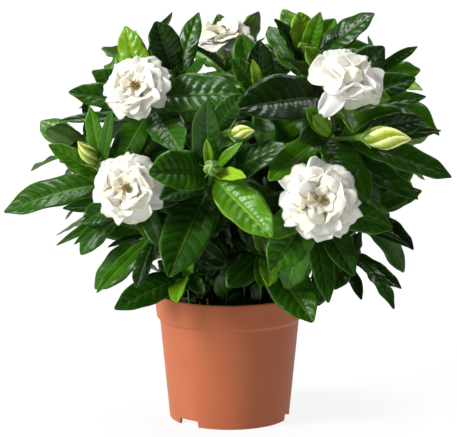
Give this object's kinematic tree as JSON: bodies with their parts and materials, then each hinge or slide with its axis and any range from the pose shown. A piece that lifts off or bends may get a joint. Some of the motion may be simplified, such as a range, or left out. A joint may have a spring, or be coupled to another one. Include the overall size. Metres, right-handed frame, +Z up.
{
  "type": "potted gardenia",
  "caption": "Bushy evergreen shrub with glossy ribbed leaves, creamy double flowers and pointed buds, in a round tapered plastic nursery pot with a deep rim.",
  "frame": {"origin": "centre of the pot's base, on the surface that the pot stands on", "axes": "+Z up along the pot's axis; -Y is the side with the open flowers; +X is to the right seen from there"},
  "size_m": [0.363, 0.3358, 0.3521],
  "materials": {
    "pot": "satin",
    "soil": "matte",
    "wood": "matte",
    "leaf": "gloss",
    "petal": "satin",
    "heart": "matte",
    "bud": "satin"
  },
  "bodies": {
    "root": {"pot": "pot", "soil": "soil", "wood_1": "wood", "wood_2": "wood", "wood_3": "wood", "wood_4": "wood", "shoot_behind_high_1": "leaf", "shoot_behind_high_2": "leaf", "shoot_behind_high_3": "leaf", "shoot_behind_low_1": "leaf", "shoot_behind_low_2": "leaf", "shoot_behind_low_3": "leaf", "shoot_behind_low_4": "leaf", "shoot_behind_low_5": "leaf", "shoot_behind_middle_1": "leaf", "shoot_behind_middle_2": "leaf", "bud_behind_middle_2": "bud", "shoot_behind_middle_3": "leaf", "shoot_behind_middle_4": "leaf", "bud_behind_middle_4": "bud", "shoot_behind_middle_5": "leaf", "shoot_big_bud": "leaf", "bud_big_bud": "bud", "shoot_centre_bud": "leaf", "bud_centre_bud": "bud", "shoot_left_bud": "leaf", "bud_left_bud": "bud", "shoot_left_flower": "leaf", "bloom_left_flower": "petal", "heart_left_flower": "heart", "shoot_low_front_left": "leaf", "shoot_low_right_front": "leaf", "shoot_lower_left": "leaf", "shoot_middle": "leaf", "bud_middle": "bud", "shoot_right_flower": "leaf", "bloom_right_flower": "petal", "heart_right_flower": "heart", "shoot_right_inner": "leaf", "shoot_right_lower": "leaf", "shoot_right_middle": "leaf", "shoot_right_twig": "leaf", "shoot_top_flower": "leaf", "bloom_top_flower": "petal", "heart_top_flower": "heart", "shoot_top_left": "leaf", "shoot_top_middle": "leaf", "shoot_top_right": "leaf", "shoot_upper_left_flower": "leaf", "bloom_upper_left_flower": "petal", "heart_upper_left_flower": "heart", "shoot_upper_right_flower": "leaf", "bloom_upper_right_flower": "petal", "heart_upper_right_flower": "heart"}
  },
  "joints": []
}
